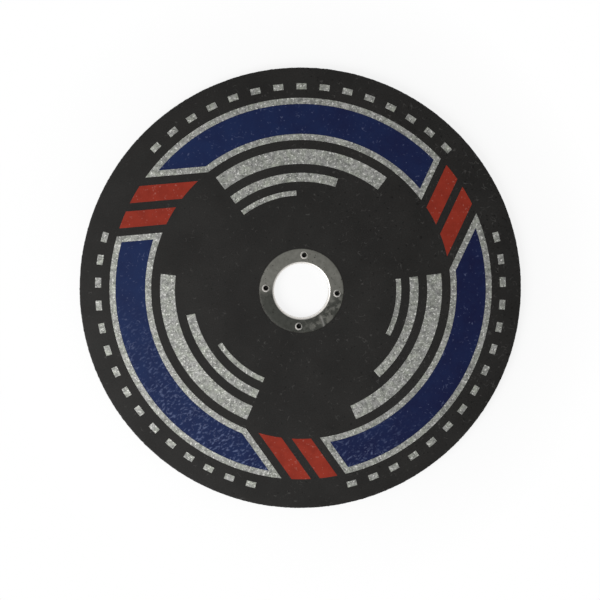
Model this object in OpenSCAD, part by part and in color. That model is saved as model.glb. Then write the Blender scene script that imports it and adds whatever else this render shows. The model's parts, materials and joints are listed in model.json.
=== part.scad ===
// Cut-off wheel: a thin resin-bonded abrasive disc, moulded round a drawn steel ring that
// lines its bore, with a print in three inks on its front face. The wheel lies on its back:
// the origin is the centre of the back face, and +Z runs along the bore, out of the print.

/* [Abrasive disc] */
// Outside diameter of the wheel
wheel_d = 180; // [150:1:230]
// Thickness of the abrasive disc
wheel_t = 3; // [2.5:0.1:4]
// Radius that the mould leaves on the rim's two edges
rim_edge_r = 0.2; // [0.1:0.05:0.5]

/* [Steel ring] */
// Diameter of the bore that fits the spindle
bore_d = 22.23; // [20:0.01:25.4]
// Thickness of the steel sheet
sheet_t = 0.4; // [0.3:0.05:0.5]
// Inside radius of the bend from the flange into the collar
bend_r = 0.35; // [0.2:0.05:0.6]
// Outside diameter of the flange
flange_d = 34.5; // [33:0.5:40]
// Radius of the blanked edge round the top of the flange
flange_edge_r = 0.12; // [0.05:0.01:0.2]
// How far the flange stands above the front face
flange_proud = 0.15; // [0.05:0.05:0.25]
// How far the collar's end stops short of the back face
collar_setback = 0.5; // [0.2:0.1:1]

/* [Stake points] */
// Number of stake points in the flange
stake_count = 4; // [3:1:8]
// Turn of the first stake point, clockwise from +Y
stake_turn = 4.3; // [0:0.1:45]
// Diameter of the hole through each stake point
stake_hole_d = 1.7; // [1.4:0.1:2]
// Diameter of the rounded mouth where the sheet is drawn down
stake_mouth_d = 3; // [2.6:0.1:3.6]
// Wall of the drawn lip
stake_lip_t = 0.25; // [0.15:0.05:0.3]
// How deep the lip bites into the disc, below the underside of the flange
stake_bite = 1.2; // [0.6:0.1:1.6]

/* [Print] */
// Thickness of the dry ink
ink_t = 0.05; // [0.03:0.01:0.1]
// Bare rim outside the blue bands' outline
band_margin = 12.2; // [10:0.1:16]
// Width of a band over its outline
band_w = 16.8; // [14:0.1:18]
// Width of the silver outline round a band
outline_w = 2.4; // [1.5:0.1:3]
// Number of bands round the wheel
band_count = 3; // [2:1:4]
// Lean of the slanted bars and band ends from the radius
lean = 35; // [0:1:40]
// Number of red bars between two bands
bar_count = 2; // [1:1:3]
// Width of a red bar
bar_w = 6.5; // [4:0.1:8]
// Space on each side of a red bar
bar_gap = 3.2; // [2:0.1:5]
// Widths of the silver streaks inside a band, from the outermost inwards
streak_w = [6, 3.5, 2]; // [1:0.1:7]
// Spans of those streaks, in degrees
streak_span = [74, 55, 34]; // [20:1:76]
// Space between the streaks, and between the first streak and its band
streak_gap = 3.6; // [2:0.1:5]
// Number of small dashes outside a band
dash_count = 15; // [8:1:20]
// Length of a dash along the rim
dash_len = 4; // [2:0.1:4.5]
// Height of a dash, towards the rim
dash_h = 2.4; // [1.5:0.1:3]
// Space between a band and its dashes
dash_gap = 3.4; // [2:0.1:4]

/* [Hidden] */
$fn = 128;

abrasive_grey = "#2d2b2a";
steel_grey = "#74736b";
ink_blue = "#202a5a";
ink_red = "#923626";
ink_silver = "#9a9b93";

wheel_r = wheel_d / 2;
bore_r = bore_d / 2;
flange_r = flange_d / 2;

// The ring's levels: the flange beds into the disc until only flange_proud shows
flange_top_z = wheel_t + flange_proud;
seat_z = flange_top_z - sheet_t;

// The bend seen from above, where the flange rolls over into the collar
bend_out_r = bend_r + sheet_t;
bend_centre = [bore_r + bend_out_r, flange_top_z - bend_out_r];
disc_bore_r = bore_r + sheet_t;

// The stake points stand in the middle of the flange's flat
stake_circle_r = (bore_r + bend_out_r + flange_r) / 2;
stake_hole_r = stake_hole_d / 2;
stake_lip_r = stake_hole_r + stake_lip_t;
stake_mouth_r = (stake_mouth_d - stake_hole_d) / 2;
stake_tip_z = seat_z - stake_bite;

// The bands' radii, and the pitch of the bands round the wheel
band_out_r = wheel_r - band_margin;
band_in_r = band_out_r - band_w;
band_mid_r = (band_out_r + band_in_r) / 2;
band_pitch = 360 / band_count;
print_top = 90;

// The gap between two bands holds the red bars, and each strip across it overshoots the band
gap_w = bar_count * bar_w + (bar_count + 1) * bar_gap;
strip_len = 3 * band_w;

dash_in_r = band_out_r + dash_gap;
dash_pitch = (band_pitch - 180 * gap_w / cos(lean) / (PI * band_mid_r)) / dash_count;

// Cuts and holes run past the faces that they open by this much
overshoot = 1;

// A corner rounded to radius r: what is left of a square corner outside the round.
// The corner is at the origin, and the material lies towards +X and +Y.
module corner_waste(r) {
    difference() {
        translate([-overshoot, -overshoot])
            square(r + overshoot);
        translate([r, r])
            circle(r);
    }
}

// A flat ring between two radii
module flat_ring(inner_r, outer_r) {
    difference() {
        circle(outer_r);
        circle(inner_r);
    }
}

// A wedge of the face that opens from the axis, centred on +X
module wedge(span, reach) {
    polygon([[0, 0], reach * [cos(span / 2), -sin(span / 2)],
             2 * reach * [1, 0], reach * [cos(span / 2), sin(span / 2)]]);
}

// Places its children at each stake point
module at_stake_points() {
    for (i = [0 : stake_count - 1])
        rotate(print_top - stake_turn + i * 360 / stake_count)
            translate([stake_circle_r, 0])
                children();
}

// Half of the disc's section: the seat of the flange, the bore, and the rounded edges
module disc_section() {
    difference() {
        translate([disc_bore_r, 0])
            square([wheel_r - disc_bore_r, wheel_t]);
        translate([disc_bore_r - overshoot, seat_z])
            square([flange_r - disc_bore_r + overshoot, wheel_t]);
        translate([disc_bore_r, seat_z])
            mirror([0, 1])
                corner_waste(bend_r);
        translate([wheel_r, 0])
            mirror([1, 0])
                corner_waste(rim_edge_r);
        translate([wheel_r, wheel_t])
            rotate(180)
                corner_waste(rim_edge_r);
    }
}

// The moulded body: abrasive grain and glass mesh in one resin bond
module abrasive_disc() {
    color(abrasive_grey)
        difference() {
            rotate_extrude()
                disc_section();
            at_stake_points()
                translate([0, 0, stake_tip_z])
                    cylinder(r = stake_lip_r, h = wheel_t);
        }
}

// Half of the ring's section: flange, bend and collar, all one sheet thick
module ring_section() {
    difference() {
        translate([bend_centre.x, seat_z])
            square([flange_r - bend_centre.x, sheet_t]);
        translate([flange_r, flange_top_z])
            rotate(180)
                corner_waste(flange_edge_r);
    }
    translate([bore_r, collar_setback])
        square([sheet_t, bend_centre.y - collar_setback]);
    intersection() {
        translate(bend_centre)
            flat_ring(bend_r, bend_out_r);
        translate([bore_r, bend_centre.y])
            square(bend_out_r);
    }
}

// The rounded mouth and the hole of one stake point, cut from above
module stake_opening() {
    translate([0, 0, stake_tip_z - overshoot])
        cylinder(r = stake_hole_r, h = wheel_t + 2 * overshoot);
    rotate_extrude()
        difference() {
            translate([0, flange_top_z - stake_mouth_r])
                square([stake_hole_r + stake_mouth_r, stake_mouth_r + overshoot]);
            translate([stake_hole_r + stake_mouth_r, flange_top_z - stake_mouth_r])
                circle(stake_mouth_r);
        }
}

// The bore ring: one drawn steel sheet, staked into the disc
module steel_ring() {
    color(steel_grey)
        difference() {
            union() {
                rotate_extrude()
                    ring_section();
                at_stake_points()
                    translate([0, 0, stake_tip_z])
                        cylinder(r = stake_lip_r, h = stake_bite + sheet_t / 2);
            }
            at_stake_points()
                stake_opening();
        }
}

// One ink film on the front face, from its flat shape
module ink(ink_colour) {
    color(ink_colour)
        translate([0, 0, wheel_t])
            linear_extrude(ink_t)
                children();
}

// A slanted strip across each gap between two bands, moved sideways from the gap's middle
module gap_strips(width, sideways = 0) {
    for (i = [0 : band_count - 1])
        rotate(print_top + (i + 0.5) * band_pitch)
            translate([band_mid_r, 0])
                rotate(lean)
                    translate([0, sideways])
                        square([strip_len, width], center = true);
}

// The blue inside of each band
module band_fields() {
    difference() {
        flat_ring(band_in_r + outline_w, band_out_r - outline_w);
        gap_strips(gap_w + 2 * outline_w);
    }
}

module blue_ink() {
    ink(ink_blue)
        band_fields();
}

module red_ink() {
    ink(ink_red)
        intersection() {
            flat_ring(band_in_r, band_out_r);
            for (i = [0 : bar_count - 1])
                gap_strips(bar_w, (i - (bar_count - 1) / 2) * (bar_w + bar_gap));
        }
}

// The outline of each band
module band_outlines() {
    difference() {
        flat_ring(band_in_r, band_out_r);
        gap_strips(gap_w);
        band_fields();
    }
}

// Arcs inside each band that start in line and end one after another
function streak_out_r(i) = i == 0
    ? band_in_r - streak_gap
    : streak_out_r(i - 1) - streak_w[i - 1] - streak_gap;

module streaks() {
    for (band = [0 : band_count - 1], i = [0 : len(streak_w) - 1])
        rotate(print_top + band * band_pitch + (streak_span[0] - streak_span[i]) / 2)
            intersection() {
                flat_ring(streak_out_r(i) - streak_w[i], streak_out_r(i));
                wedge(streak_span[i], wheel_d);
            }
}

// A row of small dashes outside each band
module dashes() {
    intersection() {
        flat_ring(dash_in_r, dash_in_r + dash_h);
        for (band = [0 : band_count - 1], i = [0 : dash_count - 1])
            rotate(print_top + band * band_pitch + (i - (dash_count - 1) / 2) * dash_pitch)
                translate([dash_in_r - overshoot, -dash_len / 2])
                    square([dash_h + 2 * overshoot, dash_len]);
    }
}

module silver_ink() {
    ink(ink_silver) {
        band_outlines();
        streaks();
        dashes();
    }
}

abrasive_disc();
steel_ring();
blue_ink();
red_ink();
silver_ink();
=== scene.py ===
import json

import bmesh
import bpy
import numpy as np
from mathutils import Matrix, Vector


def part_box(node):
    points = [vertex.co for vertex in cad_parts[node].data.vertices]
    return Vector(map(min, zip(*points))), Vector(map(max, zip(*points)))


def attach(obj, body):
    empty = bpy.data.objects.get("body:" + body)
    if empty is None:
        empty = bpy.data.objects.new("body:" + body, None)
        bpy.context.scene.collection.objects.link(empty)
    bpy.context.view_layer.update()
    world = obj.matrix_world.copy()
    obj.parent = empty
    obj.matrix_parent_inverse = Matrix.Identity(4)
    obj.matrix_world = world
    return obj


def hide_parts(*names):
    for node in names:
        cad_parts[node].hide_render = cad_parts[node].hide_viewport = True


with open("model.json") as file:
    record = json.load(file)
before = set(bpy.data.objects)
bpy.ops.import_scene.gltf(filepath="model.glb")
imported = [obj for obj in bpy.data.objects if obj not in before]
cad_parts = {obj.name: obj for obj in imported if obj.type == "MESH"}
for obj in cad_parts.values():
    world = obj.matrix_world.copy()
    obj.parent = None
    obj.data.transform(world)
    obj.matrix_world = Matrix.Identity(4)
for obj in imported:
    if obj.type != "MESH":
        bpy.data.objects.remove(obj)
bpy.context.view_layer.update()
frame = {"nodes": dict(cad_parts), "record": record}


# The abrasive disc: grain and glass mesh pressed in a resin bond, one moulding. Its front is
# flat and smooth enough to print on, its rim is bare grain, and the steel ring's flange and
# lips are bedded in the front, round the bore.

MM = 0.001

wheel_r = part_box("abrasive_disc")[1].x
front_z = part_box("abrasive_disc")[1].z
flange_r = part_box("steel_ring")[1].x
flange_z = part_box("steel_ring")[1].z
bore_r = frame["record"]["mounts"][0]["dims"]["r_mm"] * MM

SHEET_T = 0.4 * MM
BEND_R = 0.35 * MM
BEND_UNDERSIDE_POINTS = 3
FLANGE_EDGE_R = 0.12 * MM
STAKES = 4
STAKE_TURN = np.radians(90 - 4.3)
STAKE_LIP_R = 1.1 * MM
STAKE_TIP_Z = 1.55 * MM

COLUMNS = 2400
PATCH_COLUMNS = 160
SEAT_ROWS = 3
MERGE_GAP = 0.0005 * MM
BACK_RECESS = 0.2 * MM
RIM_EDGE_R = 0.2 * MM
RIM_EDGE_POINTS = 4
RIM_ROWS = 14
RIM_SKIN = 0.03 * MM
RIM_PITTING = 0.24 * MM
FINE_PITS = 1
COARSE_PITS = 3
PIT_PERCENTILES = (3, 97)
CRUMBLE_RINGS = np.array([2.0, 1.0, 0.5]) * MM
CRUMBLE_W = 1.2 * MM
FACE_CRUMBLE = 0.07 * MM

seat_z = flange_z - SHEET_T
disc_bore_r = bore_r + SHEET_T
bend_end_r = disc_bore_r + BEND_R
plate_out_r = flange_r - FLANGE_EDGE_R
stake_step = 2 * np.pi / STAKES
column_step = 2 * np.pi / COLUMNS
first_column = STAKE_TURN - PATCH_COLUMNS / 2 * column_step
column_angles = first_column + np.arange(COLUMNS) * column_step


def polar(r, a):
    """Points (x, y) at a radius and an angle: x = r cos a, y = r sin a."""
    return np.stack([r * np.cos(a), r * np.sin(a)], axis=-1)


def raised(flat, height):
    """Points (x, y) with their height as z."""
    return np.dstack([flat, np.broadcast_to(height, flat.shape[:2])])


def arc(centre, radius, start, end, points):
    """Points (radius, height) on a circle about a centre, from one angle in degrees to another."""
    return np.add(centre, polar(radius, np.radians(np.linspace(start, end, points))))


def lathe(profile):
    """A profile of (radius, height) points turned about Z: x = r cos a, y = r sin a, z = height."""
    r, z = np.asarray(profile).T
    return raised(polar(r, column_angles[:, None]), z)


stake_circle_r = (bend_end_r + flange_r) / 2
stake_centres = polar(stake_circle_r, STAKE_TURN + np.arange(STAKES) * stake_step)


def stake_spokes(stake, rows):
    """The outline of the patch of flange round one stake point, and the directions to it.

    The outline runs along an inner arc, out along a radius, back along an outer arc and in
    again. Each direction is the unit vector from the stake point's centre to the outline."""
    angle = first_column + stake * stake_step + np.arange(PATCH_COLUMNS + 1) * column_step
    radii = np.linspace(bend_end_r, plate_out_r, rows)
    r = np.concatenate([np.full(PATCH_COLUMNS, bend_end_r), radii[:-1],
                        np.full(PATCH_COLUMNS, plate_out_r), radii[:0:-1]])
    a = np.concatenate([angle[:-1], np.full(rows - 1, angle[-1]),
                        angle[:0:-1], np.full(rows - 1, angle[0])])
    outline = polar(r, a)
    spoke = outline - stake_centres[stake]
    return outline, spoke / np.linalg.norm(spoke, axis=1, keepdims=True)


def pierced_plate(height, hole_r, rows):
    """A flat ring between the bend and the flange's edge, with a round hole at each stake point.

    Near a hole, a point lies t squared of the way from the hole's edge to the patch's outline,
    for t from 0 to 1. Between the patches, a point is given by its angle and its radius."""
    share = np.linspace(0, 1, rows)[None, :, None] ** 2
    radii = np.linspace(bend_end_r, plate_out_r, rows)
    past_patch = np.arange(PATCH_COLUMNS, COLUMNS // STAKES + 1) * column_step
    grids = []
    for stake in range(STAKES):
        outline, spoke = stake_spokes(stake, rows)
        edge = stake_centres[stake] + hole_r * spoke
        patch = edge[:, None] + (outline - edge)[:, None] * share
        angle = first_column + stake * stake_step + past_patch
        grids.append((raised(patch, height), True))
        grids.append((raised(polar(radii, angle[:, None]), height), False))
    return grids


def stake_lathes(profile, rows):
    """A profile of (radius, height) points turned about each stake point, along its spokes."""
    r, z = np.asarray(profile).T
    grids = []
    for stake in range(STAKES):
        _, spoke = stake_spokes(stake, rows)
        flat = stake_centres[stake] + spoke[:, None] * r[:, None]
        grids.append((raised(flat, z), True))
    return grids


def grid_faces(rows, columns, closed):
    """The quads between neighbours in a grid of points; closed joins the last row to the first."""
    i = np.arange(rows if closed else rows - 1)[:, None]
    j = np.arange(columns - 1)[None, :]
    here, there = i * columns + j, (i + 1) % rows * columns + j
    return np.stack([here, there, there + 1, here + 1], axis=-1).reshape(-1, 4)


def add_piece(name, grids, sharp_angle):
    """One closed mesh from grids of points whose borders meet, with its doubles merged and its
    faces turned outwards. Edges that bend by more than sharp_angle degrees stay sharp."""
    sizes = [grid.shape[0] * grid.shape[1] for grid, _ in grids]
    offsets = np.cumsum([0] + sizes[:-1])
    points = np.concatenate([grid.reshape(-1, 3) for grid, _ in grids])
    faces = np.concatenate([grid_faces(*grid.shape[:2], closed) + offset
                            for (grid, closed), offset in zip(grids, offsets)])
    mesh = bpy.data.meshes.new(name)
    mesh.from_pydata(points.tolist(), [], faces.tolist())
    shell = bmesh.new()
    shell.from_mesh(mesh)
    bmesh.ops.remove_doubles(shell, verts=shell.verts, dist=MERGE_GAP)
    bmesh.ops.recalc_face_normals(shell, faces=shell.faces)
    shell.to_mesh(mesh)
    shell.free()
    mesh.shade_smooth()
    mesh.set_sharp_from_angle(angle=np.radians(sharp_angle))
    piece = bpy.data.objects.new(name, mesh)
    bpy.context.scene.collection.objects.link(piece)
    return piece


def grain_noise(rows, spread):
    """Random pits from 0 to 1 on a grid of columns by rows, each about twice spread columns wide.

    White noise is averaged with its neighbours along the rim and across it, then stretched."""
    white = np.random.default_rng(spread).random((COLUMNS, rows))
    steps = range(-spread, spread + 1)
    along = sum(np.roll(white, step, axis=0) * (spread + 1 - abs(step)) for step in steps)
    across = np.pad(along, ((0, 0), (1, 1)), mode="edge")
    smooth = across[:, :-2] + 2 * across[:, 1:-1] + across[:, 2:]
    low, high = np.percentile(smooth, PIT_PERCENTILES)
    return np.clip((smooth - low) / (high - low), 0, 1)


def disc_shell():
    """The outside of the disc, turned from its back face over the rim to the front face.

    Pits of grain_noise push the rim inwards, and crumble the two faces near the rim a little."""
    round_r = wheel_r - RIM_EDGE_R
    low_z, high_z = BACK_RECESS + RIM_EDGE_R, front_z - RIM_EDGE_R
    back = [(r, BACK_RECESS) for r in (disc_bore_r, *(wheel_r - CRUMBLE_RINGS))]
    low = arc((round_r, low_z), RIM_EDGE_R, -90, 0, RIM_EDGE_POINTS)
    side = [(wheel_r, z) for z in np.linspace(low_z, high_z, RIM_ROWS)[1:-1]]
    high = arc((round_r, high_z), RIM_EDGE_R, 0, 90, RIM_EDGE_POINTS)
    front = [(r, front_z) for r in (*(wheel_r - CRUMBLE_RINGS[::-1]), flange_r)]
    seat = [(flange_r, seat_z), (plate_out_r, seat_z)]
    profile = np.concatenate([back, low, side, high, front, seat])
    shell = lathe(np.minimum(profile, (wheel_r - RIM_SKIN, front_z)))
    pits = (grain_noise(len(profile), FINE_PITS) + grain_noise(len(profile), COARSE_PITS)) / 2
    near_rim = np.clip((profile[:, 0] - (wheel_r - CRUMBLE_W)) / CRUMBLE_W, 0, 1)
    on_side = np.clip((profile[:, 0] - round_r) / RIM_EDGE_R, 0, 1)
    inwards = pits * (on_side * RIM_PITTING)
    shell[..., :2] *= (1 - inwards / wheel_r)[..., None]
    to_middle = np.sign(front_z / 2 - profile[:, 1])
    shell[..., 2] += pits * near_rim * to_middle * FACE_CRUMBLE
    return shell


bore_edge = arc((bend_end_r, seat_z - BEND_R), BEND_R, 90, 180, BEND_UNDERSIDE_POINTS)
bore_wall = np.concatenate([bore_edge, [(disc_bore_r, BACK_RECESS)]])
pocket = [(STAKE_LIP_R, seat_z), (STAKE_LIP_R, STAKE_TIP_Z), (0, STAKE_TIP_Z)]
abrasive_disc = add_piece(
    "abrasive_body",
    [(disc_shell(), True), (lathe(bore_wall), True)]
    + pierced_plate(seat_z, STAKE_LIP_R, SEAT_ROWS) + stake_lathes(pocket, SEAT_ROWS),
    sharp_angle=50)

# Places of the colours among the sockets of a mix node
MIX_FIRST, MIX_SECOND, MIX_RESULT = 6, 7, 2

# Ranges that hold most of a soft noise's values, nearly all of them, and the middle ones
MOST_NOISE = (0.3, 0.7)
WIDE_NOISE = (0.25, 0.75)
MIDDLE_NOISE = (0.35, 0.65)

BAND_SOFTNESS = 0.3
WRINKLE_HALF_W = 0.018
WRINKLE_PATCH = 0.8
WRINKLE_FADE = 0.1
SPECK_FADE = 0.09


def new_finish(name):
    """An empty node material with its shader, and two functions that work on it.

    The first adds a node, the second sets the shader's inputs. Both set an input to a value, or
    link it if it is another node's output. A colour is given as red, green and blue."""
    material = bpy.data.materials.new(name)
    material.use_nodes = True
    tree = material.node_tree
    shader = tree.nodes["Principled BSDF"]

    def connect(socket, value):
        if isinstance(value, bpy.types.NodeSocket):
            tree.links.new(value, socket)
        elif socket.type == "RGBA":
            socket.default_value = (*value, 1)
        else:
            socket.default_value = value

    def add(kind, inputs=(), **settings):
        made = tree.nodes.new("ShaderNode" + kind)
        for key, value in settings.items():
            setattr(made, key, value)
        for key, value in dict(inputs).items():
            connect(made.inputs[key], value)
        return made

    def dress(**inputs):
        for key, value in inputs.items():
            connect(shader.inputs[key.replace("_", " ")], value)

    return material, add, dress


def noise(add, vector, size, detail=2.0, roughness=0.5):
    """Soft noise with features of about the given size in metres, as a value from 0 to 1."""
    return add("TexNoise", {"Vector": vector, "Scale": 1 / size, "Detail": detail,
                            "Roughness": roughness}).outputs["Fac"]


def ramp(add, value, low, high, low_to=0.0, high_to=1.0):
    """A value carried straight from one range to another, and held at its ends."""
    return add("MapRange", {"Value": value, "From Min": low, "From Max": high,
                            "To Min": low_to, "To Max": high_to}).outputs["Result"]


def part_way(add, share, first, second):
    """A value between two values, by a share from 0 to 1."""
    return ramp(add, share, 0.0, 1.0, first, second)


def calc(add, operation, first, second=0.0):
    """Two values joined by one operation, or one value changed by it."""
    return add("Math", {0: first, 1: second}, operation=operation).outputs["Value"]


def blend(add, share, first, second, blend_type="MIX"):
    """A colour between two colours, by a share from 0 to 1."""
    colours = {"Factor": share, MIX_FIRST: first, MIX_SECOND: second}
    return add("Mix", colours, data_type="RGBA", blend_type=blend_type).outputs[MIX_RESULT]


def tint(add, share, strength, colour, over):
    """A colour laid over another where a share is high, as strongly as strength says."""
    return blend(add, calc(add, "MULTIPLY", share, strength), over, colour)


def bumps(add, height, strength, depth):
    """The shading normal of a surface that rises and falls by a height from 0 to 1."""
    sizes = {"Height": height, "Strength": strength, "Distance": depth}
    return add("Bump", sizes).outputs["Normal"]


def axis_distance(add, x, y):
    """The distance from the wheel's axis: the root of x squared plus y squared."""
    flat = add("CombineXYZ", {"X": x, "Y": y}).outputs["Vector"]
    return add("VectorMath", {0: flat}, operation="LENGTH").outputs["Value"]


def band(add, value, middle, half):
    """One where a value is near a middle, and zero where it is further off than about half."""
    away = calc(add, "ABSOLUTE", calc(add, "SUBTRACT", value, middle))
    return ramp(add, away, (1 - BAND_SOFTNESS) * half, (1 + BAND_SOFTNESS) * half, 1.0, 0.0)


def wrinkles(add, vector, size, sparse):
    """Short curved marks: where one noise crosses its middle, kept where another is above sparse."""
    line = band(add, noise(add, vector, size, detail=1.0), 0.5, WRINKLE_HALF_W)
    patches = noise(add, vector, WRINKLE_PATCH * size, detail=1.0)
    kept = ramp(add, calc(add, "SUBTRACT", patches, sparse), 0.0, WRINKLE_FADE)
    return calc(add, "MULTIPLY", line, kept)


def specks(add, vector, size, sparse):
    """Small soft dots: the places where a noise is above sparse."""
    above = calc(add, "SUBTRACT", noise(add, vector, size, detail=1.0), sparse)
    return ramp(add, above, 0.0, SPECK_FADE)


FACE_DARK = (0.0130, 0.0124, 0.0116)
FACE_PALE = (0.0205, 0.0196, 0.0184)
FACE_MOTTLE = 18 * MM
FACE_SPECKLE = 0.5 * MM
FACE_SPECKLE_TONES = (0.75, 1.25)
FACE_ROUGHNESS = 0.55
FACE_GLOSS = 0.16
FACE_RIPPLE = 0.8 * MM
FACE_BUMP = 0.35
SKIN_WHOLE_DEPTH = 0.05 * MM
SKIN_END_DEPTH = 0.14 * MM
SKIN_WHOLE_MARGIN = 0.6 * MM
SKIN_END_MARGIN = 0.2 * MM

SCUFF = (0.060, 0.058, 0.055)
SCUFF_SIZE = 2.6 * MM
SCUFF_STRENGTH = 0.65
DENT = (0.0045, 0.0043, 0.0040)
DENT_SIZE = 1.5 * MM
DENT_STRENGTH = 0.75
SCUFFS_SPARSE_LEFT = 0.66
SCUFFS_SPARSE_RIGHT = 0.54
DENTS_SPARSER = 0.08

GRAIN_DARK = (0.0085, 0.0080, 0.0075)
GRAIN_PALE = (0.034, 0.031, 0.027)
GRAIN_SIZE = 0.55 * MM
GRAIN_CHIP_SIZE = 0.45 * MM
GRAIN_CHIP_DEPTH = 0.3 * MM
GRAIN_TONES = (0.1, 1.0)
GRAIN_GAP = (0.02, 0.16)
GRAIN_SLOPE = (0.0, 0.2)
GRAIN_LOWEST = 0.4
GRAIN_GLASSY = (0.65, 0.9)
GRAIN_ROUGHNESS = (0.85, 0.4)
GRAIN_GLOSS = 0.45
GRAIN_BUMP = 0.9
BUMP_DEPTH = 0.08 * MM

YARN_END = (0.085, 0.078, 0.066)
YARN_PITCH = 5 * MM
YARN_HALF_W = 0.75 * MM
MESH_DEPTH = 0.45 * MM
MESH_HALF_T = 0.11 * MM

abrasive, add, dress = new_finish("resin_bonded_grain")
place = add("TexCoord").outputs["Object"]
x, y, z = add("SeparateXYZ", {"Vector": place}).outputs
radius = axis_distance(add, x, y)
on_front = calc(add, "MULTIPLY",
                ramp(add, z, front_z - SKIN_END_DEPTH, front_z - SKIN_WHOLE_DEPTH),
                ramp(add, radius, wheel_r - SKIN_WHOLE_MARGIN, wheel_r - SKIN_END_MARGIN, 1.0, 0.0))

mottle = ramp(add, noise(add, place, FACE_MOTTLE, detail=5.0, roughness=0.6), *MOST_NOISE)
speckle = ramp(add, noise(add, place, FACE_SPECKLE), *WIDE_NOISE, *FACE_SPECKLE_TONES)
face = blend(add, 1.0, blend(add, mottle, FACE_DARK, FACE_PALE), speckle, "MULTIPLY")
sparse = ramp(add, x, -wheel_r, wheel_r, SCUFFS_SPARSE_LEFT, SCUFFS_SPARSE_RIGHT)
dents = specks(add, place, DENT_SIZE, calc(add, "ADD", sparse, DENTS_SPARSER))
face = tint(add, dents, DENT_STRENGTH, DENT, over=face)
face = tint(add, wrinkles(add, place, SCUFF_SIZE, sparse), SCUFF_STRENGTH, SCUFF, over=face)

jitter = add("TexNoise", {"Vector": place, "Scale": 1 / GRAIN_CHIP_SIZE, "Detail": 3.0})
chips = add("VectorMath", {0: jitter.outputs["Color"], "Scale": GRAIN_CHIP_DEPTH}, operation="SCALE")
chipped = add("VectorMath", {0: place, 1: chips.outputs["Vector"]}, operation="ADD")
grains = {"Vector": chipped.outputs["Vector"], "Scale": 1 / GRAIN_SIZE}
random_tones = add("SeparateColor", {"Color": add("TexVoronoi", grains).outputs["Color"]}).outputs
to_edge = add("TexVoronoi", grains, feature="DISTANCE_TO_EDGE").outputs["Distance"]
grit = calc(add, "MULTIPLY", ramp(add, random_tones["Red"], *GRAIN_TONES),
            ramp(add, to_edge, *GRAIN_GAP))
relief = calc(add, "MULTIPLY", part_way(add, random_tones["Blue"], GRAIN_LOWEST, 1.0),
              ramp(add, to_edge, *GRAIN_SLOPE))
grain_roughness = ramp(add, random_tones["Green"], *GRAIN_GLASSY, *GRAIN_ROUGHNESS)

from_mid = calc(add, "ABSOLUTE", calc(add, "SUBTRACT", z, front_z / 2))
in_layer = band(add, from_mid, front_z / 2 - MESH_DEPTH, MESH_HALF_T)
cut_ends = [band(add, calc(add, "FRACT", calc(add, "DIVIDE", axis, YARN_PITCH)),
                 0.5, YARN_HALF_W / YARN_PITCH) for axis in (x, y)]
yarn_ends = calc(add, "MULTIPLY", in_layer, calc(add, "MAXIMUM", *cut_ends))
bare = blend(add, yarn_ends, blend(add, grit, GRAIN_DARK, GRAIN_PALE), YARN_END)

ripple = noise(add, place, FACE_RIPPLE, detail=3.0)
dress(Base_Color=blend(add, on_front, bare, face),
      Roughness=part_way(add, on_front, grain_roughness, FACE_ROUGHNESS),
      Specular_IOR_Level=part_way(add, on_front, GRAIN_GLOSS, FACE_GLOSS),
      Normal=bumps(add, part_way(add, on_front, relief, ripple),
                   part_way(add, on_front, GRAIN_BUMP, FACE_BUMP), BUMP_DEPTH))
abrasive_disc.data.materials.append(abrasive)
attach(abrasive_disc, "root")
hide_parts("abrasive_disc")


# The glass mesh that backs the disc: a plain weave of flat glass yarns soaked with resin. It
# is pressed half into the back face, so the yarns' crowns stand out between bare grain, and it
# is cut off with the disc at the rim and at the bore.

YARN_HALF_T = 0.10 * MM
YARN_WAVE = 0.08 * MM
YARN_POINTS = 150
YARN_SIDES = 8
YARN_MARGIN = 0.4 * MM

yarn_level = YARN_HALF_T + YARN_WAVE


def yarns():
    """Flat oval tubes along +X, one each pitch, cut along the rim's circle and the bore's.

    A tube's middle is at z = level + wave cos(pi x / pitch + pi k) for tube number k. Each line
    along a tube's side ends where it meets a circle, and the last ring closes to a point."""
    k = np.arange(np.ceil(-wheel_r / YARN_PITCH), wheel_r / YARN_PITCH)[:, None]
    k = k[np.abs(k + 0.5) * YARN_PITCH < wheel_r - YARN_MARGIN - YARN_HALF_W][:, None]
    turn = (np.arange(YARN_SIDES) / YARN_SIDES - 0.25) * 2 * np.pi
    y = (k + 0.5) * YARN_PITCH + YARN_HALF_W * np.cos(turn)
    reach = np.sqrt((wheel_r - YARN_MARGIN) ** 2 - y ** 2)
    bore_cut_r = disc_bore_r + YARN_MARGIN
    half_gap = np.sqrt(np.clip(bore_cut_r ** 2 - y ** 2, 0, None))
    split = np.abs(k[:, 0] + 0.5) * YARN_PITCH < bore_cut_r
    start = np.concatenate([-reach, half_gap[split]])
    end = np.concatenate([np.where(split[:, None], -half_gap, reach), reach[split]])
    k, y = np.concatenate([k, k[split]]), np.concatenate([y, y[split]])
    share = np.pad(np.linspace(0, 1, YARN_POINTS - 2), 1, mode="edge")
    x = start[..., None] + (end - start)[..., None] * share
    middle = yarn_level + YARN_WAVE * np.cos(np.pi * x / YARN_PITCH + np.pi * k[..., None])
    z = middle + YARN_HALF_T * np.sin(turn)[:, None]
    tubes = np.stack([x, np.broadcast_to(y[..., None], x.shape), z], axis=-1)
    tubes[:, :, [0, -1]] = tubes[:, :, [0, -1]].mean(axis=1, keepdims=True)
    return tubes


YARN_DARK = (0.020, 0.019, 0.017)
YARN_PALE = (0.105, 0.098, 0.084)
YARN_ROUGHNESS = (0.45, 0.7)
YARN_GLOSS = 0.4
# The dips' tone is painted shade.
DIP_PAINTED_SHADE = 0.15
SOAK_SIZE = 7 * MM
SOAK_NOISE = (0.35, 0.7)
SOAK_TONE = 0.45
FILAMENT_W = 0.22 * MM
FILAMENT_STRETCH = 0.06
FILAMENT_TONE = 0.35
FILAMENT_BUMP = 0.4
FILAMENT_DEPTH = 0.04 * MM


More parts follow.
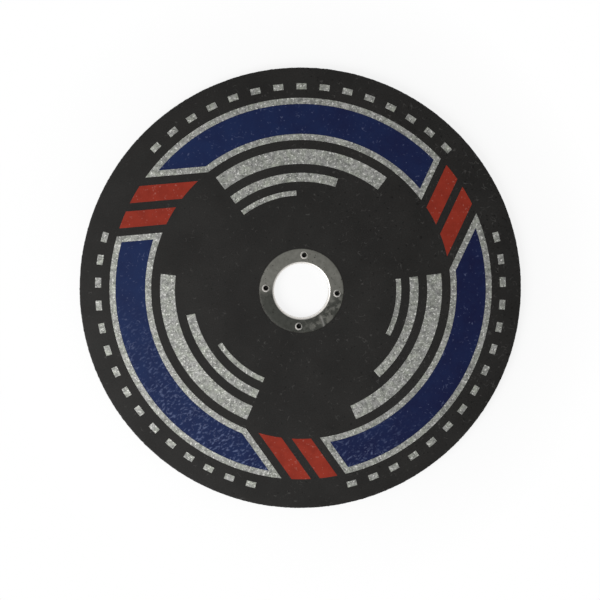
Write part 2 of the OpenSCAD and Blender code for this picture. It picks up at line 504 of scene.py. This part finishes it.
def yarn_finish(name, across_axis):
    """Glass filaments in resin: fine lines along the yarn, with a painted highlight on the crowns and
    painted shade in the dips.

    The lines are a noise that is squeezed across the yarn and drawn out along it."""
    material, add, dress = new_finish(name)
    place = add("TexCoord").outputs["Object"]
    drawn_out = [FILAMENT_STRETCH, FILAMENT_STRETCH, 1]
    drawn_out["XY".index(across_axis)] = 1
    along = add("Mapping", {"Vector": place, "Scale": drawn_out}).outputs["Vector"]
    filaments = noise(add, along, FILAMENT_W)
    height = add("SeparateXYZ", {"Vector": place}).outputs["Z"]
    # Painted light: the crowns are painted paler and the dips darker, as light and shade would make
    # them.
    crown_light_and_shade = ramp(add, height, 0.0, yarn_level, 1.0, DIP_PAINTED_SHADE)
    soak = noise(add, place, SOAK_SIZE, detail=4.0, roughness=0.6)
    soak = ramp(add, soak, *SOAK_NOISE, SOAK_TONE, 1.0)
    lines = ramp(add, filaments, *MOST_NOISE, FILAMENT_TONE, 1.0)
    bare = calc(add, "MULTIPLY", calc(add, "MULTIPLY", crown_light_and_shade, soak), lines)
    dress(Base_Color=blend(add, bare, YARN_DARK, YARN_PALE),
          Roughness=part_way(add, bare, *YARN_ROUGHNESS),
          Specular_IOR_Level=YARN_GLOSS,
          Normal=bumps(add, filaments, FILAMENT_BUMP, FILAMENT_DEPTH))
    return material


weft = yarns()
warp = weft[..., [1, 0, 2]].copy()
warp[..., 2] = 2 * yarn_level - warp[..., 2]
for name, tubes, across_axis in (("glass_weft", weft, "Y"), ("glass_warp", warp, "X")):
    yarn_set = add_piece(name, [(tube, True) for tube in tubes], sharp_angle=180)
    yarn_set.data.materials.append(yarn_finish(name + "_yarn", across_axis))
    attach(yarn_set, "root")


# The steel ring that lines the bore: one drawn sheet, with a flange on the front and a collar
# down the bore. Four lips pierced through the flange bite into the disc and hold it.

STAKE_HOLE_R = 0.85 * MM
STAKE_MOUTH_R = 0.65 * MM
BEND_POINTS = 10
FLANGE_EDGE_POINTS = 5
FLANGE_ROWS = 6
FLANGE_DIP = 0.03 * MM
SLOW_WAVES = 3
SLOW_WAVES_TURN = 0.6
QUICK_WAVES = 7
QUICK_WAVES_TURN = 2.0
QUICK_WAVES_SLANT = 1.5 * MM
WAVES_START_W = 1.0 * MM
CREASE_DIP = 0.05 * MM
CREASE_HALF_W = 0.2 * MM
CREASE_WIDENING = 0.32 * MM
CREASE_START_SHARE = 0.4
CREASE_TURN = np.radians(-52)
CREASE_LEAN = np.radians(-6)

collar_end_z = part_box("steel_ring")[0].z
bend_out_r = SHEET_T + BEND_R
mouth_out_r = STAKE_HOLE_R + STAKE_MOUTH_R


def near_crease(points):
    """How near a point is to the crease, from 0 to 1: a bell across a line that leans as it runs out.

    The crease is narrow and faint at the bend, and widens to the flange's edge."""
    r = np.hypot(points[..., 0], points[..., 1])
    outwards = (r - bend_end_r) / (flange_r - bend_end_r)
    aside = r * (np.arctan2(points[..., 1], points[..., 0]) - CREASE_TURN - CREASE_LEAN * outwards)
    half_w = CREASE_HALF_W + CREASE_WIDENING * outwards
    return np.exp(-(aside / half_w) ** 2) * np.clip(outwards / CREASE_START_SHARE, 0, 1)


def flange_waves(points):
    """The sheet's unevenness: the flange dips by waves round the axis, and along one crease.

    The waves are the mean of (1 + sin(m a)) / 2 for a slow and a quick count m of waves. The
    quick ones slant as they run out."""
    angle = np.arctan2(points[..., 1], points[..., 0])
    r = np.hypot(points[..., 0], points[..., 1])
    slow = np.sin(SLOW_WAVES * angle + SLOW_WAVES_TURN)
    quick = np.sin(QUICK_WAVES * angle + QUICK_WAVES_TURN + r / QUICK_WAVES_SLANT)
    on_flange = np.clip((r - bend_end_r) / WAVES_START_W, 0, 1)
    waves = 0.5 + 0.25 * slow + 0.25 * quick
    points[..., 2] -= on_flange * (FLANGE_DIP * waves + CREASE_DIP * near_crease(points))
    return points


flange_edge = np.concatenate([
    arc((plate_out_r, flange_z - FLANGE_EDGE_R), FLANGE_EDGE_R, 90, 0, FLANGE_EDGE_POINTS),
    [(flange_r, seat_z), (plate_out_r, seat_z)]])
collar = np.concatenate([
    arc((bend_end_r, flange_z - bend_out_r), bend_out_r, 90, 180, BEND_POINTS),
    [(bore_r, collar_end_z), (disc_bore_r, collar_end_z)],
    bore_edge[::-1]])
lip = np.concatenate([
    arc((mouth_out_r, flange_z - STAKE_MOUTH_R), STAKE_MOUTH_R, 90, 180, BEND_POINTS),
    [(STAKE_HOLE_R, STAKE_TIP_Z), (STAKE_LIP_R, STAKE_TIP_Z), (STAKE_LIP_R, seat_z)]])
ring_grids = ([(lathe(flange_edge), True), (lathe(collar), True)]
              + pierced_plate(flange_z, mouth_out_r, FLANGE_ROWS)
              + pierced_plate(seat_z, STAKE_LIP_R, FLANGE_ROWS) + stake_lathes(lip, FLANGE_ROWS))
wavy_grids = [(flange_waves(grid), closed) for grid, closed in ring_grids]
steel_ring = add_piece("bore_ring", wavy_grids, sharp_angle=45)

# The stake mouths are painted bright on this side, a painted highlight, and with painted shade on the
# other.
HIGHLIGHT_SIDE = np.radians(215)
MOUTH_SLACK = 0.01 * MM
MOUTH_DULL_W = 0.2 * MM
BEND_SHINE_W = 0.15 * MM
CREASE_SHINE = 0.28


def paint_wear_and_light(piece):
    """Writes, from 0 to 1, how bright each point of the ring is painted, partly as wear and partly as
    a painted highlight, and how much painted shade it has.

    The bend into the bore is bright, a painted highlight. The stake mouths are bare steel that dulls
    towards their holes, painted bright on one side as a highlight and with painted shade on the
    other. The crest of the crease is painted a little paler, a painted highlight."""
    points = np.empty(len(piece.data.vertices) * 3)
    piece.data.vertices.foreach_get("co", points)
    points = points.reshape(-1, 3)
    r = np.hypot(points[:, 0], points[:, 1])
    spokes = points[:, None, :2] - stake_centres[None]
    lengths = np.linalg.norm(spokes, axis=-1)
    nearest = lengths.argmin(axis=1)[:, None]
    length = np.take_along_axis(lengths, nearest, axis=1)[:, 0]
    spoke = np.take_along_axis(spokes, nearest[..., None], axis=1)[:, 0]
    to_highlight_side = spoke @ polar(1.0, HIGHLIGHT_SIDE) / length
    from_hole = length - STAKE_HOLE_R
    in_mouth = from_hole < STAKE_MOUTH_R + MOUTH_SLACK
    mouth = in_mouth * np.clip(from_hole / MOUTH_DULL_W, 0, 1) * (0.5 + 0.5 * to_highlight_side)
    bend = np.clip((bend_end_r - r) / BEND_SHINE_W, 0, 1)
    crease = CREASE_SHINE * near_crease(points)
    in_sight = points[:, 2] > seat_z - BEND_R
    wear_and_highlight = in_sight * np.maximum.reduce([mouth, bend, crease])
    # Painted shade on the far side of each stake mouth.
    painted_shade = in_mouth * np.clip(-to_highlight_side, 0, 1)
    for name, values in (("wear_and_highlight", wear_and_highlight), ("painted_shade", painted_shade)):
        layer = piece.data.attributes.new(name, "FLOAT", "POINT")
        layer.data.foreach_set("value", values.astype(np.float32))


paint_wear_and_light(steel_ring)

# The first colour is painted shade: a painted dim reflection on the ring's lower half.
STEEL_PAINTED_DIM = (0.105, 0.108, 0.096)
STEEL_DULL = (0.305, 0.302, 0.270)
# The bright colour is partly worn bare steel and partly a painted highlight on the bend, the mouths
# and the crease.
STEEL_WORN_AND_HIGHLIGHT = (0.93, 0.90, 0.86)
SHEET_ROUGHNESS = 0.38
BEND_ROUGHNESS = 0.5
MOUTH_ROUGHNESS = 0.72
BEND_TO_MOUTH_W = 0.1 * MM
STEEL_RIPPLE = 0.6 * MM
STEEL_BUMP = 0.2
STEEL_BUMP_DEPTH = 0.03 * MM

DIM_HALF_EDGE = (-3 * MM, 2 * MM)
DIM_EDGE_WANDER = 4 * MM
DIM_EDGE_WANDER_SIZE = 8 * MM
STREAK_SIZE = 2.6 * MM
STREAK_NOISE = (0.46, 0.60)
STREAK_STRENGTH = 0.85
STREAK_EDGE = (-2 * MM, 6 * MM)
STEEL_CLOUD = 1.8 * MM
STEEL_CLOUD_TONES = (0.82, 1.12)

# A dark tone for the pits, and for the painted shade at the mouths and along the flange's edge.
STEEL_PIT_AND_SHADE = (0.040, 0.038, 0.034)
STEEL_PIT_SIZE = 1.0 * MM
STEEL_PITS_SPARSE = 0.66
STEEL_PIT_STRENGTH = 0.85
EDGE_SHADE_START_MARGIN = 0.35 * MM
EDGE_SHADE_FULL_MARGIN = 0.1 * MM
PAINTED_SHADE_STRENGTH = 0.8

drawn_steel, add, dress = new_finish("drawn_steel")
place = add("TexCoord").outputs["Object"]
x, y, _ = add("SeparateXYZ", {"Vector": place}).outputs
radius = axis_distance(add, x, y)
# Painted shade: the sheet is painted darker below a wandering line across the ring, a painted dim
# reflection. Paler noise streaks on the right lift parts of it back.
wander = noise(add, place, DIM_EDGE_WANDER_SIZE, detail=4.0, roughness=0.6)
wander = ramp(add, wander, *WIDE_NOISE, -DIM_EDGE_WANDER, DIM_EDGE_WANDER)
painted_lit_half = ramp(add, calc(add, "ADD", y, wander), *DIM_HALF_EDGE)
streaks = noise(add, place, STREAK_SIZE, detail=3.0, roughness=0.6)
streaks = ramp(add, streaks, *STREAK_NOISE, 0.0, STREAK_STRENGTH)
streaks = calc(add, "MULTIPLY", streaks, ramp(add, x, *STREAK_EDGE))
cloud = noise(add, place, STEEL_CLOUD, detail=4.0, roughness=0.6)
cloud = ramp(add, cloud, *MOST_NOISE, *STEEL_CLOUD_TONES)
sheet = blend(add, calc(add, "MAXIMUM", painted_lit_half, streaks), STEEL_PAINTED_DIM, STEEL_DULL)
sheet = blend(add, 1.0, sheet, cloud, "MULTIPLY")
pits = specks(add, place, STEEL_PIT_SIZE, STEEL_PITS_SPARSE)
sheet = tint(add, pits, STEEL_PIT_STRENGTH, STEEL_PIT_AND_SHADE, over=sheet)
# Painted shade: the far side of each mouth, and a ring along the flange's edge where it meets the
# disc.
painted_shade = calc(add, "MAXIMUM", add("Attribute", attribute_name="painted_shade").outputs["Fac"],
             ramp(add, radius, flange_r - EDGE_SHADE_START_MARGIN, flange_r - EDGE_SHADE_FULL_MARGIN))
sheet = tint(add, painted_shade, PAINTED_SHADE_STRENGTH, STEEL_PIT_AND_SHADE, over=sheet)
# Bright where worn and where a highlight is painted: the bend, one side of each mouth and the crease.
wear_and_highlight = add("Attribute", attribute_name="wear_and_highlight").outputs["Fac"]
bend_and_mouth_roughness = ramp(add, radius, bend_end_r, bend_end_r + BEND_TO_MOUTH_W,
                        BEND_ROUGHNESS, MOUTH_ROUGHNESS)
dress(Base_Color=blend(add, wear_and_highlight, sheet, STEEL_WORN_AND_HIGHLIGHT),
      Metallic=1.0,
      Roughness=part_way(add, wear_and_highlight, SHEET_ROUGHNESS, bend_and_mouth_roughness),
      Normal=bumps(add, noise(add, place, STEEL_RIPPLE, detail=3.0), STEEL_BUMP, STEEL_BUMP_DEPTH))
steel_ring.data.materials.append(drawn_steel)
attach(steel_ring, "root")
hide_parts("steel_ring")


# The blue print: a screened ink, dry and thin, that follows the fine unevenness of the face.
# It fills the bands and is painted paler to the left, a painted sheen of the lamp on that side. Small
# pale marks show where the film is rubbed, and at the lower left it dried in short slanted crinkles.

PRINT_REACH = 80 * MM
INK_GLOSS = 0.13
INK_RIPPLE = 0.7 * MM
INK_BUMP_DEPTH = 0.05 * MM

BLUE_DEEP = (0.0050, 0.0064, 0.0385)
BLUE_PALE = (0.0088, 0.0215, 0.080)
BLUE_PAINTED_SHEEN_LEFT = 0.6
BLUE_THIN_CLOUD = 0.45
BLUE_CLOUD = 9 * MM
BLUE_ROUGHNESS = (0.42, 0.6)
BLUE_SHEEN_SIZE = 1.5 * MM
BLUE_BUMP = 0.3

BLUE_MARK = (0.075, 0.090, 0.170)
BLUE_MARK_SIZE = 2.6 * MM
BLUE_MARKS_SPARSE = (0.62, 0.52)
BLUE_SPECK_SIZE = 1.1 * MM
BLUE_SPECKS_SPARSE = 0.68
BLUE_MARK_STRENGTH = 0.7

CRINKLE_CREST = (0.110, 0.140, 0.255)
CRINKLED_SIDE = np.radians(248)
CRINKLED_FROM = 28 * MM
CRINKLED_FULLY = 76 * MM
CRINKLE_SIZE = 0.95 * MM
CRINKLE_LEAN = np.radians(35)
CRINKLE_STRETCH = 1.8
CRINKLE_NOISE = (0.55, 0.72)
CRINKLE_STRENGTH = 0.9


def put_finish(node_name, material):
    """Gives a piece of the frame its finish in place of the plain one."""
    piece = frame["nodes"][node_name]
    piece.data.materials.clear()
    piece.data.materials.append(material)


blue, add, dress = new_finish("blue_screen_ink")
place = add("TexCoord").outputs["Object"]
x, _, _ = add("SeparateXYZ", {"Vector": place}).outputs
cloud = noise(add, place, BLUE_CLOUD, detail=5.0, roughness=0.65)
# Paler to the left is a painted sheen of the lamp. The clouds are thinner film.
thinness_and_sheen = calc(add, "ADD", ramp(add, x, -PRINT_REACH, PRINT_REACH, BLUE_PAINTED_SHEEN_LEFT, 0.0),
                ramp(add, cloud, *MOST_NOISE, 0.0, BLUE_THIN_CLOUD))
side = (*polar(1.0, CRINKLED_SIDE), 0)
to_side = add("VectorMath", {0: place, 1: side}, operation="DOT_PRODUCT").outputs["Value"]
crinkled = ramp(add, to_side, CRINKLED_FROM, CRINKLED_FULLY)
slant = {"Vector": place, "Rotation": (0, 0, CRINKLE_LEAN), "Scale": (CRINKLE_STRETCH, 1, 1)}
slanted = add("Mapping", slant, vector_type="TEXTURE").outputs["Vector"]
crinkles = noise(add, slanted, CRINKLE_SIZE, detail=1.5)
crinkles = ramp(add, crinkles, *CRINKLE_NOISE, 0.0, CRINKLE_STRENGTH)
sparse = ramp(add, to_side, 0.0, PRINT_REACH, *BLUE_MARKS_SPARSE)
marks = calc(add, "MAXIMUM", wrinkles(add, place, BLUE_MARK_SIZE, sparse),
             specks(add, place, BLUE_SPECK_SIZE, BLUE_SPECKS_SPARSE))
film = blend(add, thinness_and_sheen, BLUE_DEEP, BLUE_PALE)
film = tint(add, marks, BLUE_MARK_STRENGTH, BLUE_MARK, over=film)
sheen = noise(add, place, BLUE_SHEEN_SIZE, detail=3.0)
dress(Base_Color=tint(add, crinkled, crinkles, CRINKLE_CREST, over=film),
      Roughness=ramp(add, sheen, *MOST_NOISE, *BLUE_ROUGHNESS),
      Specular_IOR_Level=INK_GLOSS,
      Normal=bumps(add, noise(add, place, INK_RIPPLE, detail=3.0), BLUE_BUMP, INK_BUMP_DEPTH))
put_finish("blue_ink", blue)


# The red print: the second screened ink, in slanted bars between the blue bands. It is dense
# and dull, with a slight cloudiness and a few pale pinholes.

RED_DEEP = (0.210, 0.0205, 0.0105)
RED_PALE = (0.285, 0.0300, 0.0155)
RED_CLOUD = 5 * MM
RED_ROUGHNESS = 0.55
RED_BUMP = 0.25
PINHOLE = (0.42, 0.16, 0.13)
PINHOLE_SIZE = 0.9 * MM
PINHOLES_SPARSE = 0.66
PINHOLE_STRENGTH = 0.5

red, add, dress = new_finish("red_screen_ink")
place = add("TexCoord").outputs["Object"]
cloud = ramp(add, noise(add, place, RED_CLOUD, detail=5.0, roughness=0.6), *MOST_NOISE)
film = blend(add, cloud, RED_DEEP, RED_PALE)
pinholes = specks(add, place, PINHOLE_SIZE, PINHOLES_SPARSE)
dress(Base_Color=tint(add, pinholes, PINHOLE_STRENGTH, PINHOLE, over=film),
      Roughness=RED_ROUGHNESS,
      Specular_IOR_Level=INK_GLOSS,
      Normal=bumps(add, noise(add, place, INK_RIPPLE, detail=3.0), RED_BUMP, INK_BUMP_DEPTH))
put_finish("red_ink", red)


# The silver print: an ink of metal flake, in the outlines, streaks and dashes. It dries to a
# finely crinkled film, grey with a hint of green, in which single flakes catch the light.

SILVER_DULL = (0.150, 0.153, 0.144)
SILVER_PALE = (0.510, 0.505, 0.490)
SILVER_GREEN = (0.495, 0.520, 0.445)
GREEN_SIZE = 3.5 * MM
SILVER_CRINKLE = 1.3 * MM
SILVER_CRINKLE_NOISE = (0.33, 0.67)
SILVER_CRINKLE_SHARE = 0.75
SILVER_CLOUD = 2.4 * MM
SILVER_CLOUD_SHARE = 0.25
SILVER_METAL = 0.55
SILVER_ROUGHNESS = (0.48, 0.32)
SILVER_BUMP = 0.45
SILVER_BUMP_DEPTH = 0.1 * MM

FLAKE = (0.95, 0.95, 0.90)
LARGE_FLAKE = 1.0 * MM
LARGE_FLAKES_SPARSE = 0.61
SMALL_FLAKE = 0.6 * MM
SMALL_FLAKES_SPARSE = 0.64
CURL_SIZE = 1.6 * MM
CURLS_SPARSE = 0.55
CURL_STRENGTH = 0.6
FLAKE_STRENGTH = 0.9
SILVER_PIT = (0.06, 0.06, 0.056)
SILVER_PIT_SIZE = 0.9 * MM
SILVER_PITS_SPARSE = 0.64
SILVER_PIT_STRENGTH = 0.5

silver, add, dress = new_finish("silver_flake_ink")
place = add("TexCoord").outputs["Object"]
crinkle = noise(add, place, SILVER_CRINKLE, detail=3.0, roughness=0.65)
cloud = noise(add, place, SILVER_CLOUD, detail=3.0, roughness=0.6)
tone = calc(add, "ADD", ramp(add, crinkle, *SILVER_CRINKLE_NOISE, 0.0, SILVER_CRINKLE_SHARE),
            ramp(add, cloud, *MOST_NOISE, 0.0, SILVER_CLOUD_SHARE))
green = ramp(add, noise(add, place, GREEN_SIZE), *MIDDLE_NOISE)
film = blend(add, tone, SILVER_DULL, blend(add, green, SILVER_PALE, SILVER_GREEN))
pits = specks(add, place, SILVER_PIT_SIZE, SILVER_PITS_SPARSE)
film = tint(add, pits, SILVER_PIT_STRENGTH, SILVER_PIT, over=film)
glints = calc(add, "MAXIMUM", specks(add, place, LARGE_FLAKE, LARGE_FLAKES_SPARSE),
              specks(add, place, SMALL_FLAKE, SMALL_FLAKES_SPARSE))
curls = calc(add, "MULTIPLY", wrinkles(add, place, CURL_SIZE, CURLS_SPARSE), CURL_STRENGTH)
flakes = calc(add, "MULTIPLY", calc(add, "MAXIMUM", glints, curls), FLAKE_STRENGTH)
dress(Base_Color=blend(add, flakes, film, FLAKE),
      Metallic=SILVER_METAL,
      Roughness=part_way(add, flakes, *SILVER_ROUGHNESS),
      Normal=bumps(add, crinkle, SILVER_BUMP, SILVER_BUMP_DEPTH))
put_finish("silver_ink", silver)


# The floor: a plain white table top. To the camera and to the metal it is near white, and it
# keeps a share of its own shading round the wheel, so the wheel throws a soft shadow on it.

FLOOR_HALF = 3.0
FLOOR_WHITE = (0.9, 0.9, 0.9)
FLOOR_OWN_SHADING = 0.15
FLOOR_CLEAR_R = 0.13

corners = np.array([(-1, -1, 0), (1, -1, 0), (1, 1, 0), (-1, 1, 0)]) * FLOOR_HALF
floor_mesh = bpy.data.meshes.new("floor")
floor_mesh.from_pydata(corners.tolist(), [], [(0, 1, 2, 3)])
floor = bpy.data.objects.new("floor", floor_mesh)
bpy.context.scene.collection.objects.link(floor)
table_top, add, dress = new_finish("white_table_top")
dress(Base_Color=FLOOR_WHITE, Roughness=1.0, Specular_IOR_Level=0.0)
rays = add("LightPath").outputs
mirrored = calc(add, "MAXIMUM", rays["Is Glossy Ray"], rays["Is Transmission Ray"])
seen = calc(add, "MAXIMUM", rays["Is Camera Ray"], mirrored)
place = add("TexCoord").outputs["Object"]
away = add("VectorMath", {0: place}, operation="LENGTH").outputs["Value"]
clear = ramp(add, away, wheel_r, FLOOR_CLEAR_R, 1 - FLOOR_OWN_SHADING, 1.0)
nodes = table_top.node_tree.nodes
look = add("MixShader", {"Fac": calc(add, "MULTIPLY", seen, clear),
                         1: nodes["Principled BSDF"].outputs["BSDF"],
                         2: add("Emission").outputs["Emission"]})
table_top.node_tree.links.new(look.outputs["Shader"], nodes["Material Output"].inputs["Surface"])
floor.data.materials.append(table_top)


# The light: pale studio walls that are white at the horizon and dimmer overhead, and one large
# soft lamp near the wheel, to its left and in front, so the left side is brighter.

WALL_WHITE = (1, 1, 1, 1)
WALLS = 1.0
CEILING = 0.33
CEILING_FROM = 0.55
LAMP_PLACE = Vector((-0.41, -0.27, 0.40))
LAMP_SIZE = 0.4
LAMP_WATTS = 3.8

world = bpy.data.worlds.new("studio")
bpy.context.scene.world = world
world.use_nodes = True
sky = world.node_tree
aim = sky.nodes.new("ShaderNodeSeparateXYZ")
sky.links.new(sky.nodes.new("ShaderNodeTexCoord").outputs["Generated"], aim.inputs["Vector"])
level = sky.nodes.new("ShaderNodeMapRange")
level.inputs["From Max"].default_value = CEILING_FROM
level.inputs["To Min"].default_value = WALLS
level.inputs["To Max"].default_value = CEILING
sky.links.new(aim.outputs["Z"], level.inputs["Value"])
sky.nodes["Background"].inputs["Color"].default_value = WALL_WHITE
sky.links.new(level.outputs["Result"], sky.nodes["Background"].inputs["Strength"])

lamp_data = bpy.data.lights.new("soft_lamp", "AREA")
lamp_data.size = LAMP_SIZE
lamp_data.energy = LAMP_WATTS
lamp = bpy.data.objects.new("soft_lamp", lamp_data)
lamp.location = LAMP_PLACE
lamp.rotation_euler = (-LAMP_PLACE).to_track_quat("-Z", "Y").to_euler()
bpy.context.scene.collection.objects.link(lamp)


# The camera looks down on the printed face from close by and a few degrees off the axis, so the
# bore sits a little off the middle of the outline. Its shift places the bore in the picture.

PICTURE_PX = 600
BORE_CENTRE_PX = (301.5, 290.8)
PX_PER_METRE = 2457
CAMERA_DISTANCE = 0.45
CAMERA_TILT = np.radians(4.3)
CAMERA_SIDE = np.radians(111.6)
SENSOR = 0.036

to_camera = Vector((*polar(np.sin(CAMERA_TILT), CAMERA_SIDE), np.cos(CAMERA_TILT)))
picture_right = Vector((0, 1, 0)).cross(to_camera).normalized()
picture_up = to_camera.cross(picture_right)
camera_data = bpy.data.cameras.new("camera")
camera_data.sensor_width = SENSOR / MM
camera_data.lens = SENSOR / MM * CAMERA_DISTANCE * PX_PER_METRE / PICTURE_PX
camera_data.shift_x = 0.5 - BORE_CENTRE_PX[0] / PICTURE_PX
camera_data.shift_y = BORE_CENTRE_PX[1] / PICTURE_PX - 0.5
camera = bpy.data.objects.new("camera", camera_data)
camera.location = Vector((0, 0, front_z)) + to_camera * CAMERA_DISTANCE
camera.rotation_euler = Matrix((picture_right, picture_up, to_camera)).transposed().to_euler()
bpy.context.scene.collection.objects.link(camera)
bpy.context.scene.camera = camera
bpy.context.scene.view_settings.view_transform = "Standard"
